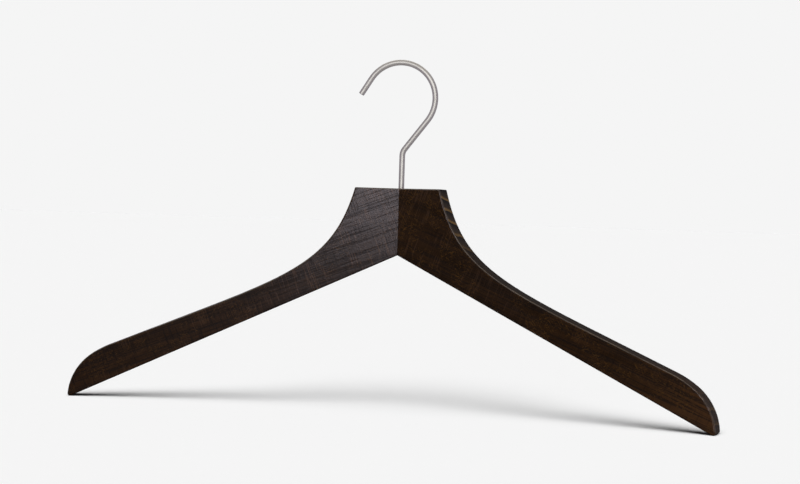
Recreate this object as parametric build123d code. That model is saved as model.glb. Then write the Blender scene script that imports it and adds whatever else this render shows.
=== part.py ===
"""Wooden clothes hanger with a swivelling wire hook.

Two mitred boards are glued and dowelled into one body whose arms come forward in a shallow V.
A bent steel wire hook turns in a metal bush that is pressed into the neck, and a retaining ring
under the bush stops the hook from pulling out.

Millimetres, +Z up. The origin is on the swivel axis, at the underside of the hook's crown, where
the hanger rests on a rail. -Y is the front, the side that the arms come forward to.
"""

from build123d import *
import os
from math import asin, atan2, cos, degrees, hypot, radians, sin, sqrt, tan

# ---- Driving dimensions -------------------------------------------------------------------------

overall_width = 450.0  # across the arm tips, before their edges are rounded
mitre_angle = 13.5  # how far each arm turns forward from the X axis, in degrees
board_thickness = 13.2
seam_height = 47.1  # height of the glued joint at the front
neck_length = 30.9  # along each arm, from the seam to the neck's corner

flank_start_slope = 75.0  # below the horizontal, where the neck's side leaves its flat top
flank_pull = (56.0, 109.0)  # how far the neck's curve keeps to its first and last direction
flank_end = (175.6, -105.3)  # where the neck's curve has run out into the shoulder line
shoulder_slope = 22.5  # below the horizontal
nose_radii = (65.0, 38.0)  # the tip rounds over in two arcs
nose_turns = (14.0, 53.5)  # in degrees, to upright
tip_corner_radius = 1.8
neck_corner_radius = 0.8
arris_radius = 1.0  # long edges of both boards

wire_diameter = 4.0
hook_height = 86.7  # from the neck's flat top to the rail
crown_inner_diameter = 46.6
crown_offset = -2.75  # the crown's centre from the swivel axis
bend_height = 25.9  # where the wire leaves the vertical, above the neck
bend_radius = 8.0
crown_turn = 185.0  # degrees of full round
straight_tip = 13.2
tip_edge_radius = 0.5

bush_diameter = 8.0
bush_length = 20.0
running_clearance = 0.05  # between the shank and the bush, on the radius
bush_chamfer = 0.4
grip_groove = (0.8, 0.35)  # width and depth of each groove round the bush
grip_groove_count = 3
bore_depth = 26.0

ring_thickness = 0.8
ring_diameter = 6.6
ring_gap = 70.0  # degrees
groove_root_diameter = 3.0
ring_play = 0.1  # under the bush
shank_end = 1.6  # wire below the ring
shank_chamfer = 0.4

dowel_diameter = 5.0
dowel_length = 16.0
dowel_chamfer = 0.6
dowel_flute_radius = 0.3
dowel_flutes = 10
dowel_hole_depth = 8.5  # leaves room for glue
dowel_depths = {"dowel_upper": 31.5, "dowel_lower": 39.5}  # below the neck's flat top

# ---- Worked out from them -----------------------------------------------------------------------

wire_radius = wire_diameter / 2
neck_z = -hook_height
crown_radius = crown_inner_diameter / 2 + wire_radius
crown_centre_z = -sqrt((crown_inner_diameter / 2) ** 2 - crown_offset**2)
seam_half_depth = board_thickness / 2 / cos(radians(mitre_angle))
arm_length = (overall_width / 2 - board_thickness * sin(radians(mitre_angle))) / cos(radians(mitre_angle))
ring_top_z = neck_z - bush_length - ring_play
shank_end_z = ring_top_z - ring_thickness - shank_end

top_down = (Align.CENTER, Align.CENTER, Align.MAX)  # a cylinder that hangs down from its origin
parallel = 0.999  # cosine of the angle between two directions that count as the same
touching = 0.01  # an edge nearer to a plane than this lies in it


def direction(slope):
    """Unit vector in an upright plane, turned the given degrees below the horizontal."""
    return Vector(cos(radians(slope)), -sin(radians(slope)))


# ---- Wooden arms --------------------------------------------------------------------------------


def arm_outline():
    """One board seen square on: X runs out along the arm, Y is up, (0, 0) is the seam's top."""
    neck_corner = Vector(neck_length, 0)
    flank_stop = Vector(*flank_end)
    flank = Bezier(
        neck_corner,
        neck_corner + direction(flank_start_slope) * flank_pull[0],
        flank_stop - direction(shoulder_slope) * flank_pull[1],
        flank_stop,
    )

    nose_reach = 0.0
    slope = shoulder_slope
    for radius, turn in zip(nose_radii, nose_turns):
        nose_reach += radius * (sin(radians(slope + turn)) - sin(radians(slope)))
        slope += turn
    straight = (arm_length - flank_stop.X - nose_reach) / cos(radians(shoulder_slope))
    shoulder = Line(flank_stop, flank_stop + direction(shoulder_slope) * straight)

    upper_nose = JernArc(shoulder @ 1, shoulder % 1, nose_radii[0], -nose_turns[0])
    lower_nose = JernArc(upper_nose @ 1, upper_nose % 1, nose_radii[1], -nose_turns[1])
    tip = lower_nose @ 1

    # The board runs a little past the seam, so that the mitre can cut it.
    past_seam = 2 * board_thickness * tan(radians(mitre_angle))
    underside_slope = (tip.Y + seam_height) / tip.X
    edges = Polyline(
        tip,
        (-past_seam, -seam_height - past_seam * underside_slope),
        (-past_seam, 0),
        neck_corner,
    )
    face = make_face([flank, shoulder, upper_nose, lower_nose, *edges.edges()])
    corners = face.vertices()
    face = fillet(corners.sort_by_distance((tip.X, tip.Y, 0))[0], tip_corner_radius)
    corners = face.vertices()
    return fillet(corners.sort_by_distance((neck_length, 0, 0))[0], neck_corner_radius)


def right_arm():
    """The board on the +X side, cut at the mitre, bored for the bush and the dowels."""
    turn = radians(mitre_angle)
    front = Plane(
        origin=(0, -seam_half_depth, neck_z),
        x_dir=(cos(turn), -sin(turn), 0),
        z_dir=(-sin(turn), -cos(turn), 0),
    )
    board = extrude(front * arm_outline(), -board_thickness)
    board = split(board, bisect_by=Plane.YZ, keep=Keep.TOP)

    faces = board.faces()
    broad = faces.filter_by(lambda f: abs(f.normal_at().dot(front.z_dir)) > parallel)
    long_edges = [e for e in broad.edges() if abs(e.center().X) > touching]
    board = fillet(long_edges, arris_radius)

    board -= Pos(0, 0, neck_z) * Cylinder(bush_diameter / 2, bore_depth, align=top_down)
    for depth in dowel_depths.values():
        hole = Rot(0, 90, 0) * Cylinder(dowel_diameter / 2, 2 * dowel_hole_depth)
        board -= Pos(0, 0, neck_z - depth) * hole
    return board


# ---- Hook and its swivel ------------------------------------------------------------------------


def hook():
    """Round wire: shank, bend, slanting neck tangent to the crown, crown and straight tip."""
    bend_z = neck_z + bend_height
    rise = crown_centre_z - bend_z
    centre_distance = hypot(crown_offset, rise)
    lean = degrees(asin(crown_radius / centre_distance) + atan2(crown_offset, rise))
    slant_length = sqrt(centre_distance**2 - crown_radius**2)
    slant = Vector(sin(radians(lean)), cos(radians(lean)))

    bend_point = Vector(0, bend_z)
    neck = FilletPolyline((0, shank_end_z), bend_point, bend_point + slant * slant_length, radius=bend_radius)
    crown = JernArc(neck @ 1, neck % 1, crown_radius, crown_turn)
    tip = Line(crown @ 1, crown @ 1 + (crown % 1) * straight_tip)
    path = Plane.XZ * Wire([*neck.edges(), *crown.edges(), *tip.edges()])

    section = Pos(0, 0, shank_end_z) * Circle(wire_radius)
    wire = sweep(section, path)
    tip_end = Vector((path @ 1).X, 0, (path @ 1).Z)
    rim = wire.edges().filter_by(GeomType.CIRCLE).sort_by_distance(tip_end)[0]
    wire = fillet(rim, tip_edge_radius)
    foot = wire.edges().filter_by(GeomType.CIRCLE).sort_by(Axis.Z)[0]
    wire = chamfer(foot, shank_chamfer)

    groove = Cylinder(wire_diameter, ring_thickness) - Cylinder(groove_root_diameter / 2, ring_thickness)
    return wire - Pos(0, 0, ring_top_z - ring_thickness / 2) * groove


def swivel_bush():
    """Metal bush pressed into the neck, flush with its top, grooved so that it grips the wood."""
    sleeve = Cylinder(bush_diameter / 2, bush_length, align=top_down)
    sleeve = chamfer(sleeve.edges().group_by(Axis.Z)[0], bush_chamfer)
    sleeve -= Cylinder(wire_radius + running_clearance, bush_length, align=top_down)
    width, depth = grip_groove
    groove = Cylinder(bush_diameter, width) - Cylinder(bush_diameter / 2 - depth, width)
    pitch = bush_length / (grip_groove_count + 1)
    for index in range(grip_groove_count):
        sleeve -= Pos(0, 0, -pitch * (index + 1)) * groove
    return Pos(0, 0, neck_z) * sleeve


def retaining_ring():
    """Flat open ring, snapped into the groove near the shank's lower end."""
    reach = ring_diameter
    half_gap = radians(ring_gap / 2)
    mouth = make_face(Polyline(
        (0, 0),
        (reach * sin(half_gap), reach * cos(half_gap)),
        (-reach * sin(half_gap), reach * cos(half_gap)),
        close=True,
    ))
    flat = Circle(ring_diameter / 2) - Circle(groove_root_diameter / 2) - mouth
    return Pos(0, 0, ring_top_z) * extrude(flat, -ring_thickness)


def dowel(depth):
    """Fluted beech dowel across the mitre, at the given depth below the neck's top."""
    peg = Cylinder(dowel_diameter / 2, dowel_length)
    peg = chamfer(peg.edges().filter_by(GeomType.CIRCLE), dowel_chamfer)
    for flute in PolarLocations(dowel_diameter / 2, dowel_flutes):
        peg -= flute * Cylinder(dowel_flute_radius, dowel_length)
    return Pos(0, 0, neck_z - depth) * Rot(0, 90, 0) * peg


# ---- One file for each piece --------------------------------------------------------------------

right = right_arm()
pieces = {
    "right_arm": right,
    "left_arm": mirror(right, about=Plane.YZ),
    "hook": hook(),
    "swivel_bush": swivel_bush(),
    "retaining_ring": retaining_ring(),
}
for name, depth in dowel_depths.items():
    pieces[name] = dowel(depth)

os.makedirs("parts", exist_ok=True)
for name, piece in pieces.items():
    export_step(piece, f"parts/{name}.step")
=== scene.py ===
"""Looks of the wooden clothes hanger: materials, studio and camera. Metres, in the part's frame."""

import math
from typing import NamedTuple

import bpy
from mathutils import Matrix, Vector


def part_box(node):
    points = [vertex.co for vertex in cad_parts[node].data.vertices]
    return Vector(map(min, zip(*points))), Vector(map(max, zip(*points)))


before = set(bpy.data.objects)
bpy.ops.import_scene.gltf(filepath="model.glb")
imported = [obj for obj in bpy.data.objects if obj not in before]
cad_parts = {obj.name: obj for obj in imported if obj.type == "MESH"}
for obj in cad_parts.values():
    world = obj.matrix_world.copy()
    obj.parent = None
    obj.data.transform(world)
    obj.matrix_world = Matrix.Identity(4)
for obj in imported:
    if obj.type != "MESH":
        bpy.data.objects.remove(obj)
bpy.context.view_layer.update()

MILLIMETRE = 0.001
UP = Vector((0, 0, 1))

# ---- The camera's and the studio's places --------------------------------------------------------

CAMERA_TARGET = Vector((0.0018, -0.0067, -0.1242))
CAMERA_AZIMUTH = 12.9  # degrees, towards +X from the front
CAMERA_ELEVATION = 0.93
CAMERA_ROLL = 1.76
CAMERA_DISTANCE = 0.9934
CAMERA_LENS = 63.77  # millimetres, like the sensor's width
SENSOR_WIDTH = 36

# The arms' tips stand on the floor, which under its own lights is as bright as the background.
FLOOR_Z = min(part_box("left_arm")[0].z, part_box("right_arm")[0].z)
FLOOR_REACH = 60.0
FLOOR_ALBEDO = 0.9165
BACKGROUND = 0.913

# The floor's lights, which draw the soft shadow. Each has an azimuth and an elevation, a strength,
# and a width. The angles are in degrees.
FLOOR_SUNS = ((0, 64, 2.05, 58), (0, 79, 1.24, 56))

# How bright the space in front of the object and the space behind it are, as light and in gloss.
FRONT_GLOW = 0.015
BACK_GLOW = 0.045
FULLY_BEHIND = 0.7  # the back glow is full where a unit vector's Y is more than this

# The wood's front softbox stands upright behind the camera, from the camera's height up, and its
# lower edge shows in the lacquer.
FRONT_SOFTBOX_PLACE = Vector((0.40, -1.28, 0.33))
FRONT_SOFTBOX_SIZE = (0.62, 0.9)
FRONT_SOFTBOX_RADIANCE = 2.8
FRONT_SOFTBOX_COLOUR = (1.0, 0.955, 1.07)

# The other softboxes face CAMERA_TARGET. Each has a name, its azimuth and elevation in degrees, its
# distance, its width and height, its radiance and its colour.
WOOD_SOFTBOXES = (
    ("high_softbox", -8, 62, 1.3, (1.8, 1.4), 1.38, (1.0, 0.98, 0.98)),
    ("right_softbox", 102, 12, 1.4, (1.0, 1.2), 1.0, (1.0, 0.95, 1.04)),
    ("left_softbox", 230, 12, 1.4, (1.0, 1.2), 1.7, (1.0, 0.95, 1.04)),
    ("high_back_softbox", 215, 60, 1.4, (1.2, 0.9), 0.7, (1.0, 1.0, 1.0)),
)

# The metal stands in a cube of dim panels, turned like the camera, with two softboxes inside it.
CUBE_REACH = 1.2  # from its middle to its sides
PANEL = (2 * CUBE_REACH, 2 * CUBE_REACH)
STEEP = 89  # almost straight up or down, so that the azimuth still turns the panel
METAL_SOFTBOXES = (
    ("metal_front_softbox", 8, 15, 1.1, (1.3, 1.0), 1.0, (1.0, 0.99, 0.96)),
    ("metal_front_panel", CAMERA_AZIMUTH, 0, CUBE_REACH, PANEL, 0.38, (1.0, 0.97, 0.98)),
    ("metal_right_panel", CAMERA_AZIMUTH + 90, 0, CUBE_REACH, PANEL, 0.36, (1.0, 0.92, 1.03)),
    ("metal_back_panel", CAMERA_AZIMUTH + 180, 0, CUBE_REACH, PANEL, 0.20, (1.0, 0.91, 1.03)),
    ("metal_left_panel", CAMERA_AZIMUTH - 90, 0, CUBE_REACH, PANEL, 0.36, (1.0, 0.92, 1.03)),
    ("metal_high_panel", CAMERA_AZIMUTH, STEEP, CUBE_REACH, PANEL, 0.50, (1.0, 0.95, 0.90)),
    ("metal_low_panel", CAMERA_AZIMUTH, -STEEP, CUBE_REACH, PANEL, 0.40, (1.0, 0.95, 0.97)),
    ("metal_back_softbox", 190, 42, 1.1, (0.9, 0.7), 0.85, (1.0, 0.99, 0.97)),
)

# ---- The wooden body -----------------------------------------------------------------------------

MITRE_ANGLE = math.radians(13.5)
GRAIN_SLOPE = math.radians(21)  # below the horizontal, in each board's own plane
RING_TILT = math.radians(10)  # of the growth rings, from the broad faces towards the edges
RING_PITCH = 6.5  # millimetres
RING_WANDER = 5.0  # millimetres

# The fine lines take their noise from this far off, so that they don't follow the other patterns.
FINE_LINE_SHIFT = (0, 31, 0)
MORE_FINE_LINES = 0.075  # added to their noise away from the neck

# How far the flecks lean off the grain, in degrees, and how far off they take their noise.
LEANING_FLECKS = ((34, 0), (-41, 57))

# Colours, as linear red, green and blue.
THICK_STAIN = (0.022, 0.0088, 0.0022)
THIN_STAIN = (0.046, 0.0188, 0.0052)
# Painted light: the paler colour towards the nose.
NOSE_PAINTED_LIGHT = (0.155, 0.066, 0.021)
# Painted shade: the darker colour near the neck.
NECK_PAINTED_SHADE = (0.010, 0.007, 0.006)
# Painted shade: the dark violet colour of the narrow faces.
EDGE_PAINTED_SHADE = (0.014, 0.009, 0.009)
FIBRE = (0.070, 0.031, 0.010)
WEAVE = (0.080, 0.038, 0.013)
GRAIN_LINE = (0.006, 0.003, 0.0025)
DARK_CROSS_LINE = (0.007, 0.0035, 0.0025)
LIGHT_CROSS_LINE = (0.160, 0.085, 0.050)
FLECK = (0.150, 0.070, 0.014)
BLACK_BAND = (0.006, 0.004, 0.004)
BROWN_BAND = (0.045, 0.028, 0.016)
GOLDEN_BAND = (0.260, 0.150, 0.045)
RUBBED_ARRIS = (0.085, 0.056, 0.026)


class Arm(NamedTuple):
    """What differs between the two arms. Places are along the grain, in millimetres."""

    side: int  # 1 towards +X, -1 towards -X
    darker_to_neck: tuple  # the painted shade near the neck fades out between these places
    paler_to_nose: tuple  # painted light: the wood gets paler between these places
    cross_lines: float  # how plainly the lines across the grain show
    flecks: float  # how plainly the flecks show


LEFT = Arm(side=-1, darker_to_neck=(125, 170), paler_to_nose=(340, 500), cross_lines=1.0, flecks=0.65)
RIGHT = Arm(side=1, darker_to_neck=(130, 190), paler_to_nose=(220, 325), cross_lines=0.5, flecks=0.95)

# ---- Material nodes ------------------------------------------------------------------------------


class Graph:
    """Short calls that add nodes to a material and give back the socket to use next."""

    def __init__(self, name):
        self.material = bpy.data.materials.new(name)
        self.material.use_nodes = True
        self.tree = self.material.node_tree
        self.shader = self.tree.nodes["Principled BSDF"]
        where = self.tree.nodes.new("ShaderNodeTexCoord")
        self.normal = where.outputs["Normal"]
        self.place = self.vector("SCALE", where.outputs["Object"], scale=1 / MILLIMETRE)

    def plug(self, socket, value):
        if isinstance(value, bpy.types.NodeSocket):
            self.tree.links.new(value, socket)
        else:
            socket.default_value = value

    def vector(self, operation, *values, scale=None):
        node = self.tree.nodes.new("ShaderNodeVectorMath")
        node.operation = operation
        for index, value in enumerate(values):
            self.plug(node.inputs[index], value)
        if scale is not None:
            node.inputs["Scale"].default_value = scale
        return node.outputs["Value" if operation in ("DOT_PRODUCT", "LENGTH") else "Vector"]

    def math(self, operation, *values):
        node = self.tree.nodes.new("ShaderNodeMath")
        node.operation = operation
        for index, value in enumerate(values):
            self.plug(node.inputs[index], value)
        return node.outputs[0]

    def dot(self, vector, axis):
        return self.vector("DOT_PRODUCT", vector, tuple(axis))

    def combine(self, x, y, z):
        node = self.tree.nodes.new("ShaderNodeCombineXYZ")
        for index, value in enumerate((x, y, z)):
            self.plug(node.inputs[index], value)
        return node.outputs[0]

    def noise(self, vector, size, detail=3.0, roughness=0.55):
        """Noise around 0.5, with blotches of the given size along each axis, in millimetres."""
        node = self.tree.nodes.new("ShaderNodeTexNoise")
        stretched = self.vector("MULTIPLY", vector, tuple(1 / length for length in size))
        self.plug(node.inputs["Vector"], stretched)
        node.inputs["Scale"].default_value = 1
        node.inputs["Detail"].default_value = detail
        node.inputs["Roughness"].default_value = roughness
        return node.outputs["Fac"]

    def random(self, value):
        node = self.tree.nodes.new("ShaderNodeTexWhiteNoise")
        node.noise_dimensions = "1D"
        self.plug(node.inputs["W"], value)
        return node.outputs["Value"]

    def step(self, value, start, end, low=0.0, high=1.0):
        """Smoothly from low to high as the value goes from start to end."""
        node = self.tree.nodes.new("ShaderNodeMapRange")
        node.interpolation_type = "SMOOTHSTEP"
        for name, number in (("From Min", start), ("From Max", end), ("To Min", low), ("To Max", high)):
            node.inputs[name].default_value = number
        self.plug(node.inputs["Value"], value)
        return node.outputs["Result"]

    def mix(self, factor, first, second):
        node = self.tree.nodes.new("ShaderNodeMix")
        node.data_type = "RGBA"
        self.plug(node.inputs["Factor"], factor)
        for name, colour in (("A", first), ("B", second)):
            self.plug(node.inputs[name], (*colour, 1) if isinstance(colour, tuple) else colour)
        return node.outputs["Result"]

    def tint(self, colour, tint, mask, strength):
        """The colour, with as much of the tint over it as the mask and the strength let through."""
        return self.mix(self.math("MULTIPLY", mask, strength), colour, tint)

    def bump(self, height, depth, under=None):
        """Relief of the given depth in millimetres where the height goes from 0 to 1."""
        node = self.tree.nodes.new("ShaderNodeBump")
        node.inputs["Distance"].default_value = depth * MILLIMETRE
        self.plug(node.inputs["Height"], height)
        if under is not None:
            self.plug(node.inputs["Normal"], under)
        return node.outputs["Normal"]

    def finish(self, **inputs):
        """The finished material. The names are the shader's inputs, in small letters."""
        sockets = {socket.name.lower().replace(" ", "_"): socket for socket in self.shader.inputs}
        for name, value in inputs.items():
            self.plug(sockets[name], value)
        return self.material


# ---- The wood's patterns -------------------------------------------------------------------------


class Board:
    """Where a point is on an arm's board, with the grain along X, and how its surface lies there."""

    def __init__(self, g, side):
        level = Vector((side * math.cos(MITRE_ANGLE), -math.sin(MITRE_ANGLE), 0))
        front = Vector((-side * math.sin(MITRE_ANGLE), -math.cos(MITRE_ANGLE), 0))
        along_axis = level * math.cos(GRAIN_SLOPE) - UP * math.sin(GRAIN_SLOPE)
        across_axis = level * math.sin(GRAIN_SLOPE) + UP * math.cos(GRAIN_SLOPE)
        self.along = g.dot(g.place, along_axis)
        self.depth = g.dot(g.place, -front)
        self.place = g.combine(self.along, g.dot(g.place, across_axis), self.depth)

        facing = g.math("ABSOLUTE", g.dot(g.normal, front))
        off_edge = g.step(facing, 0.15, 0.5)
        off_face = g.step(facing, 0.93, 0.995, 1.0, 0.0)
        self.edge = g.step(facing, 0.25, 0.75, 1.0, 0.0)
        self.arris = g.math("MULTIPLY", off_edge, off_face)
        self.cuts_fibres = g.math("ABSOLUTE", g.dot(g.normal, along_axis))


def growth_rings(g, board):
    """How far each point is through its ring, from 0 to 1, and the broken dark lines of late wood."""
    wander = g.noise(board.place, (70, 16, 16), detail=2)
    ring_axis = Vector((0, math.cos(RING_TILT), math.sin(RING_TILT)))
    rings = g.math("MULTIPLY_ADD", wander, RING_WANDER, g.dot(board.place, ring_axis))
    rings = g.math("DIVIDE", rings, -RING_PITCH)
    phase = g.math("FRACT", rings)
    own = g.random(g.math("FLOOR", rings))
    late_wood = g.math("MULTIPLY", g.step(phase, 0.0, 0.04), g.step(phase, 0.06, 0.24, 1.0, 0.0))
    lines = g.math("MULTIPLY", late_wood, g.step(own, 0.0, 1.0, 0.5, 1.0))
    broken = g.step(g.noise(board.place, (24, 3, 3), detail=2), 0.40, 0.54, 0.25, 1.0)
    return phase, g.math("MULTIPLY", lines, broken)


def fine_lines(g, board):
    """Thin dark lines along the grain, more of them away from the neck."""
    shifted = g.vector("ADD", board.place, FINE_LINE_SHIFT)
    lines = g.noise(shifted, (48, 1.0, 2.5), detail=1, roughness=0.4)
    lines = g.math("MULTIPLY_ADD", g.step(board.along, 30, 90), MORE_FINE_LINES, lines)
    return g.math("MULTIPLY", g.step(lines, 0.595, 0.665), 0.8)


def cross_lines(g, board):
    """Light and dark lines across the grain, in patches. The light ones are fainter past the neck."""
    patches = g.noise(board.place, (26, 11, 30), detail=1)
    lines = g.noise(board.place, (0.75, 16, 12), detail=2, roughness=0.4)
    light = g.math("MULTIPLY", g.step(lines, 0.56, 0.64), g.step(patches, 0.42, 0.56))
    light = g.math("MULTIPLY", light, g.step(board.along, 60, 190, 1.0, 0.35))
    dark = g.math("MULTIPLY", g.step(lines, 0.45, 0.37), g.step(patches, 0.66, 0.46))
    return light, dark


def leaning_flecks(g, board):
    """Short flecks that lean off the grain, some one way and some the other, in patches."""
    flecks = []
    for lean, shift in LEANING_FLECKS:
        turned = Matrix.Rotation(math.radians(lean), 3, "Z")
        shifted = g.vector("ADD", board.place, (shift, shift, 0))
        leaning = g.combine(g.dot(shifted, turned[0]), g.dot(shifted, turned[1]), board.depth)
        flecks.append(g.step(g.noise(leaning, (2.6, 0.42, 1.2), detail=1), 0.60, 0.74))
    patches = g.step(g.noise(board.place, (12, 12, 12), detail=1), 0.40, 0.60)
    return g.math("MULTIPLY", g.math("MAXIMUM", *flecks), patches)


def edge_bands(g, board, phase):
    """The rings as broad bands, and a mask of the edges that cut the fibres and so show them."""
    bands = g.mix(g.step(phase, 0.05, 0.65), BLACK_BAND, BROWN_BAND)
    bands = g.mix(g.step(phase, 0.70, 0.90), bands, GOLDEN_BAND)
    banded = g.math("MULTIPLY", board.edge, g.step(board.cuts_fibres, 0.30, 0.72))
    banded = g.math("MULTIPLY", banded, g.step(board.along, 110, 190, 1.0, 0.35))
    return bands, banded


def rubbed_arrises(g, board):
    """A mask of the rounded arrises, plainer in places and on those that look upwards."""
    rubbed = g.step(g.noise(board.place, (9, 5, 5), detail=3), 0.38, 0.62, 0.25, 1.0)
    upwards = g.step(g.dot(g.normal, UP), -0.1, 0.3, 0.15, 0.75)
    return g.math("MULTIPLY", board.arris, g.math("MULTIPLY", rubbed, upwards))


# ---- Materials -----------------------------------------------------------------------------------


def stained_wood(name, arm):
    """Dark stain and satin lacquer on beech."""
    g = Graph(name)
    board = Board(g, arm.side)
    phase, ring_lines = growth_rings(g, board)
    grain_lines = g.math("MAXIMUM", ring_lines, fine_lines(g, board))
    light_lines, dark_lines = cross_lines(g, board)
    bands, banded = edge_bands(g, board, phase)
    fibre = g.noise(board.place, (7, 0.28, 0.28), detail=2)
    weave = g.noise(board.place, (0.55, 0.42, 0.5), detail=2, roughness=0.6)
    neck_painted_shade = g.step(board.along, *arm.darker_to_neck, 1.0, 0.0)
    nose_painted_light = g.step(board.along, *arm.paler_to_nose)
    mottle = g.noise(board.place, (38, 9, 9), detail=4)
    # Painted light: towards the nose the mottle also shifts to the paler colour.
    mottle = g.math("MULTIPLY_ADD", nose_painted_light, 0.18, mottle)

    colour = g.mix(g.step(mottle, 0.36, 0.64), THICK_STAIN, THIN_STAIN)
    # Painted light towards the nose.
    colour = g.tint(colour, NOSE_PAINTED_LIGHT, nose_painted_light, 0.75)
    colour = g.tint(colour, FIBRE, g.step(fibre, 0.45, 0.65), 0.4)
    # Painted shade near the neck.
    colour = g.tint(colour, NECK_PAINTED_SHADE, neck_painted_shade, 0.36)
    colour = g.tint(colour, GRAIN_LINE, grain_lines, 0.9)
    colour = g.tint(colour, DARK_CROSS_LINE, dark_lines, 0.8 * arm.cross_lines)
    colour = g.tint(colour, LIGHT_CROSS_LINE, light_lines, 0.55 * arm.cross_lines)
    colour = g.tint(colour, FLECK, leaning_flecks(g, board), arm.flecks)
    colour = g.tint(colour, WEAVE, g.step(weave, 0.45, 0.60), 0.3)
    # Painted shade on the narrow faces.
    colour = g.tint(colour, EDGE_PAINTED_SHADE, board.edge, 0.5)
    colour = g.tint(colour, bands, banded, 0.9)
    colour = g.mix(rubbed_arrises(g, board), colour, RUBBED_ARRIS)

    roughness = g.step(mottle, 0.3, 0.7, 0.32, 0.40)
    for mask, rougher in ((weave, 0.12), (grain_lines, 0.12), (banded, 0.10)):
        roughness = g.math("MULTIPLY_ADD", mask, rougher, roughness)

    relief = g.bump(weave, 0.015)
    relief = g.bump(fibre, 0.015, relief)
    relief = g.bump(g.math("SUBTRACT", 1.0, grain_lines), 0.020, relief)

    # The lacquer has sunk into the open grain.
    sunk = g.math("MAXIMUM", grain_lines, g.math("MULTIPLY", dark_lines, 0.9))
    lacquer = g.step(weave, 0.38, 0.62, 0.80, 1.0)
    lacquer = g.math("MULTIPLY", lacquer, g.math("MULTIPLY_ADD", sunk, -0.6, 1.0))

    return g.finish(
        base_color=colour,
        roughness=roughness,
        normal=relief,
        specular_ior_level=0.22,
        coat_weight=lacquer,
        coat_roughness=0.17,
        coat_normal=relief,
    )


def drawn_steel():
    """Satin steel wire in the XZ plane, with fine drawing lines along it and wear under the crown."""
    g = Graph("satin_steel_wire")
    lines = g.noise(g.place, (60, 0.2, 60), detail=2)
    broad_lines = g.noise(g.place, (25, 0.6, 25), detail=2)
    smudge = g.noise(g.place, (7, 7, 7), detail=4)

    # The rail, at the frame's origin, polishes the inside of the crown across the wire.
    spot = g.vector("LENGTH", g.vector("MULTIPLY", g.place, (1.0, 1.0, 0.6)))
    underside = g.step(g.dot(g.normal, -UP), 0.2, 0.8)
    worn = g.math("MULTIPLY", g.step(spot, 4.0, 13.0, 1.0, 0.0), underside)
    scratches = g.noise(g.place, (0.12, 5, 0.12), detail=2, roughness=0.7)
    polished = g.math("MULTIPLY", worn, g.step(scratches, 0.4, 0.65))

    colour = g.mix(g.step(lines, 0.3, 0.7), (0.60, 0.585, 0.565), (0.67, 0.655, 0.63))
    colour = g.tint(colour, (0.46, 0.44, 0.41), g.step(smudge, 0.52, 0.7), 0.30)
    colour = g.mix(polished, colour, (0.70, 0.68, 0.65))
    roughness = g.step(smudge, 0.3, 0.7, 0.27, 0.36)
    roughness = g.math("MULTIPLY_ADD", lines, 0.10, roughness)
    roughness = g.math("MULTIPLY_ADD", worn, -0.08, roughness)
    relief = g.bump(lines, 0.0003)
    relief = g.bump(broad_lines, 0.0006, relief)
    return g.finish(base_color=colour, roughness=roughness, normal=relief, metallic=1.0)


def turned_brass():
    """The bush: turned on a lathe, so its marks are rings round the swivel axis, a little tarnished."""
    g = Graph("bush_brass")
    radius = g.vector("LENGTH", g.vector("MULTIPLY", g.place, (1, 1, 0)))
    section = g.combine(radius, g.dot(g.place, UP), 0)
    marks = g.noise(section, (0.12, 0.16, 1), detail=3, roughness=0.7)
    tarnish = g.noise(g.place, (2.2, 2.2, 2.2), detail=4)
    colour = g.mix(g.step(marks, 0.3, 0.7), (0.60, 0.42, 0.16), (0.78, 0.58, 0.26))
    colour = g.tint(colour, (0.30, 0.19, 0.08), g.step(tarnish, 0.48, 0.7), 0.6)
    roughness = g.step(tarnish, 0.35, 0.7, 0.24, 0.42)
    relief = g.bump(marks, 0.006)
    return g.finish(base_color=colour, roughness=roughness, normal=relief, metallic=1.0)


def spring_steel():
    """The retaining ring: dark heat-treated steel with a film of oil and fine blanking marks."""
    g = Graph("spring_steel")
    grain = g.noise(g.place, (0.22, 0.22, 1.5), detail=4, roughness=0.7)
    heat = g.noise(g.place, (2.5, 2.5, 2.5), detail=2)
    colour = g.mix(g.step(heat, 0.35, 0.65), (0.10, 0.10, 0.115), (0.20, 0.175, 0.15))
    colour = g.tint(colour, (0.32, 0.31, 0.30), g.step(grain, 0.5, 0.7), 0.5)
    roughness = g.step(grain, 0.3, 0.7, 0.28, 0.48)
    relief = g.bump(grain, 0.008)
    return g.finish(base_color=colour, roughness=roughness, normal=relief, metallic=1.0)


def raw_beech():
    """The dowels: unstained beech along X, with flecks on the sides, rings and pores on the ends."""
    g = Graph("beech_dowel")
    fibre = g.noise(g.place, (6, 0.22, 0.22), detail=3)
    flecks = g.step(g.noise(g.place, (1.8, 0.25, 0.25), detail=1), 0.58, 0.70)
    rings = g.noise(g.place, (30, 0.9, 4.5), detail=2)
    ends = g.step(g.math("ABSOLUTE", g.dot(g.normal, (1, 0, 0))), 0.6, 0.95)
    pores = g.step(g.noise(g.place, (3, 0.12, 0.12), detail=1), 0.60, 0.72)
    porous_ends = g.math("MULTIPLY", ends, g.math("MULTIPLY_ADD", pores, 0.5, 0.25))
    colour = g.mix(g.step(fibre, 0.35, 0.65), (0.46, 0.29, 0.165), (0.60, 0.41, 0.25))
    colour = g.tint(colour, (0.38, 0.22, 0.12), g.step(rings, 0.45, 0.6), 0.35)
    colour = g.tint(colour, (0.33, 0.17, 0.085), flecks, 0.45)
    colour = g.mix(porous_ends, colour, (0.22, 0.12, 0.06))
    roughness = g.step(fibre, 0.3, 0.7, 0.58, 0.72)
    relief = g.bump(fibre, 0.015)
    relief = g.bump(g.math("SUBTRACT", 1.0, pores), 0.02, relief)
    return g.finish(base_color=colour, roughness=roughness, normal=relief)


def assign(node, material):
    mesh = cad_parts[node].data
    mesh.materials.clear()
    mesh.materials.append(material)


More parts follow.
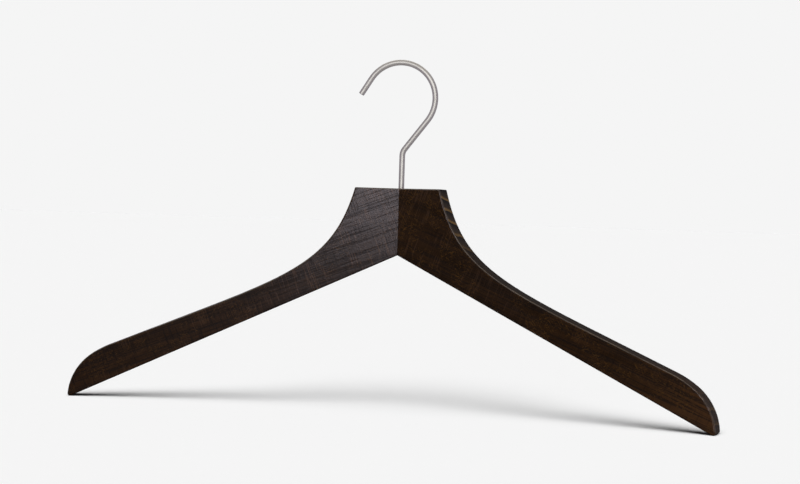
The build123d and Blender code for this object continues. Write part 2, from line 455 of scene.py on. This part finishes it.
assign("left_arm", stained_wood("stained_wood_left", LEFT))
assign("right_arm", stained_wood("stained_wood_right", RIGHT))
assign("hook", drawn_steel())
assign("swivel_bush", turned_brass())
assign("retaining_ring", spring_steel())
beech = raw_beech()
assign("dowel_upper", beech)
assign("dowel_lower", beech)

# ---- Studio --------------------------------------------------------------------------------------


def heading(azimuth, elevation):
    """Unit vector from the object, azimuth towards +X from the front, both in degrees."""
    a, e = math.radians(azimuth), math.radians(elevation)
    return Vector((math.sin(a) * math.cos(e), -math.cos(a) * math.cos(e), math.sin(e)))


def collection_of(name, objects):
    group = bpy.data.collections.new(name)
    for obj in objects:
        group.objects.link(obj)
    return group


def floor_material():
    """Plain and matt from above. Seen from underneath, the floor isn't there."""
    material = bpy.data.materials.new("floor")
    material.use_nodes = True
    nodes, links = material.node_tree.nodes, material.node_tree.links
    shader = nodes["Principled BSDF"]
    shader.inputs["Base Color"].default_value = (FLOOR_ALBEDO, FLOOR_ALBEDO, FLOOR_ALBEDO, 1)
    shader.inputs["Roughness"].default_value = 1
    shader.inputs["Specular IOR Level"].default_value = 0
    side = nodes.new("ShaderNodeNewGeometry")
    clear = nodes.new("ShaderNodeBsdfTransparent")
    choose = nodes.new("ShaderNodeMixShader")
    links.new(side.outputs["Backfacing"], choose.inputs[0])
    links.new(shader.outputs[0], choose.inputs[1])
    links.new(clear.outputs[0], choose.inputs[2])
    links.new(choose.outputs[0], nodes["Material Output"].inputs["Surface"])
    return material


def build_floor():
    """The floor takes the object's shadow, but it doesn't light the object or show in its gloss."""
    mesh = bpy.data.meshes.new("floor")
    signs = ((-1, -1), (1, -1), (1, 1), (-1, 1))
    corners = [(x * FLOOR_REACH, y * FLOOR_REACH, FLOOR_Z) for x, y in signs]
    mesh.from_pydata(corners, [], [(0, 1, 2, 3)])
    mesh.materials.append(floor_material())
    floor = bpy.data.objects.new("floor", mesh)
    bpy.context.scene.collection.objects.link(floor)
    floor.visible_diffuse = False
    floor.visible_glossy = False
    floor.visible_shadow = False
    return floor


def build_world():
    """The camera sees a plain pale space. As light and in gloss it is dim, and brighter behind."""
    world = bpy.data.worlds.new("studio")
    bpy.context.scene.world = world
    world.use_nodes = True
    nodes, links = world.node_tree.nodes, world.node_tree.links
    nodes.clear()
    out = nodes.new("ShaderNodeOutputWorld")
    choose = nodes.new("ShaderNodeMixShader")
    path = nodes.new("ShaderNodeLightPath")
    seen = nodes.new("ShaderNodeBackground")
    seen.inputs["Color"].default_value = (BACKGROUND, BACKGROUND, BACKGROUND, 1)
    where = nodes.new("ShaderNodeTexCoord")
    split = nodes.new("ShaderNodeSeparateXYZ")
    glow = nodes.new("ShaderNodeMapRange")
    glow.interpolation_type = "SMOOTHSTEP"
    glow.inputs["From Min"].default_value = 0
    glow.inputs["From Max"].default_value = FULLY_BEHIND
    glow.inputs["To Min"].default_value = FRONT_GLOW
    glow.inputs["To Max"].default_value = BACK_GLOW
    light = nodes.new("ShaderNodeBackground")
    light.inputs["Color"].default_value = (1, 1, 1, 1)
    links.new(where.outputs["Generated"], split.inputs[0])
    links.new(split.outputs["Y"], glow.inputs["Value"])
    links.new(glow.outputs["Result"], light.inputs["Strength"])
    links.new(path.outputs["Is Camera Ray"], choose.inputs[0])
    links.new(light.outputs[0], choose.inputs[1])
    links.new(seen.outputs[0], choose.inputs[2])
    links.new(choose.outputs[0], out.inputs[0])


def place_lamp(name, light, place, target, receivers):
    """Point the lamp at its target. It lights only the receivers."""
    lamp = bpy.data.objects.new(name, light)
    bpy.context.scene.collection.objects.link(lamp)
    lamp.location = place
    lamp.rotation_euler = (Vector(target) - lamp.location).to_track_quat("-Z", "Y").to_euler()
    lamp.light_linking.receiver_collection = receivers


def add_sun(name, azimuth, elevation, strength, angle, receivers):
    light = bpy.data.lights.new(name, "SUN")
    light.energy = strength
    light.angle = math.radians(angle)
    place_lamp(name, light, heading(azimuth, elevation), (0, 0, 0), receivers)


def add_softbox(name, place, target, size, radiance, colour, receivers):
    light = bpy.data.lights.new(name, "AREA")
    light.shape = "RECTANGLE"
    light.size, light.size_y = size
    light.energy = radiance * math.pi * size[0] * size[1]
    light.color = colour
    place_lamp(name, light, place, target, receivers)


def add_softboxes(softboxes, receivers):
    for name, azimuth, elevation, distance, size, radiance, colour in softboxes:
        place = CAMERA_TARGET + distance * heading(azimuth, elevation)
        add_softbox(name, place, CAMERA_TARGET, size, radiance, colour, receivers)


def build_camera():
    data = bpy.data.cameras.new("camera")
    data.lens = CAMERA_LENS
    data.sensor_width = SENSOR_WIDTH
    camera = bpy.data.objects.new("camera", data)
    bpy.context.scene.collection.objects.link(camera)
    back = heading(CAMERA_AZIMUTH, CAMERA_ELEVATION)
    camera.location = CAMERA_TARGET + CAMERA_DISTANCE * back
    level = (-back).to_track_quat("-Z", "Y").to_matrix()
    camera.rotation_euler = (level @ Matrix.Rotation(math.radians(CAMERA_ROLL), 3, "Z")).to_euler()
    bpy.context.scene.camera = camera


floor = build_floor()
build_world()
build_camera()
on_floor = collection_of("lit_floor", [floor])
metal = [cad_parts[node] for node in ("hook", "swivel_bush", "retaining_ring")]
wood = [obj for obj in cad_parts.values() if obj not in metal]
on_metal = collection_of("lit_metal", metal)
on_wood = collection_of("lit_wood", wood)

for azimuth, elevation, strength, angle in FLOOR_SUNS:
    add_sun(f"sun_{azimuth}_{elevation}", azimuth, elevation, strength, angle, on_floor)
add_softbox(
    "front_softbox",
    place=FRONT_SOFTBOX_PLACE,
    target=(0, 0, FRONT_SOFTBOX_PLACE.z),
    size=FRONT_SOFTBOX_SIZE,
    radiance=FRONT_SOFTBOX_RADIANCE,
    colour=FRONT_SOFTBOX_COLOUR,
    receivers=on_wood,
)
add_softboxes(WOOD_SOFTBOXES, on_wood)
add_softboxes(METAL_SOFTBOXES, on_metal)

bpy.context.scene.view_settings.view_transform = "Standard"
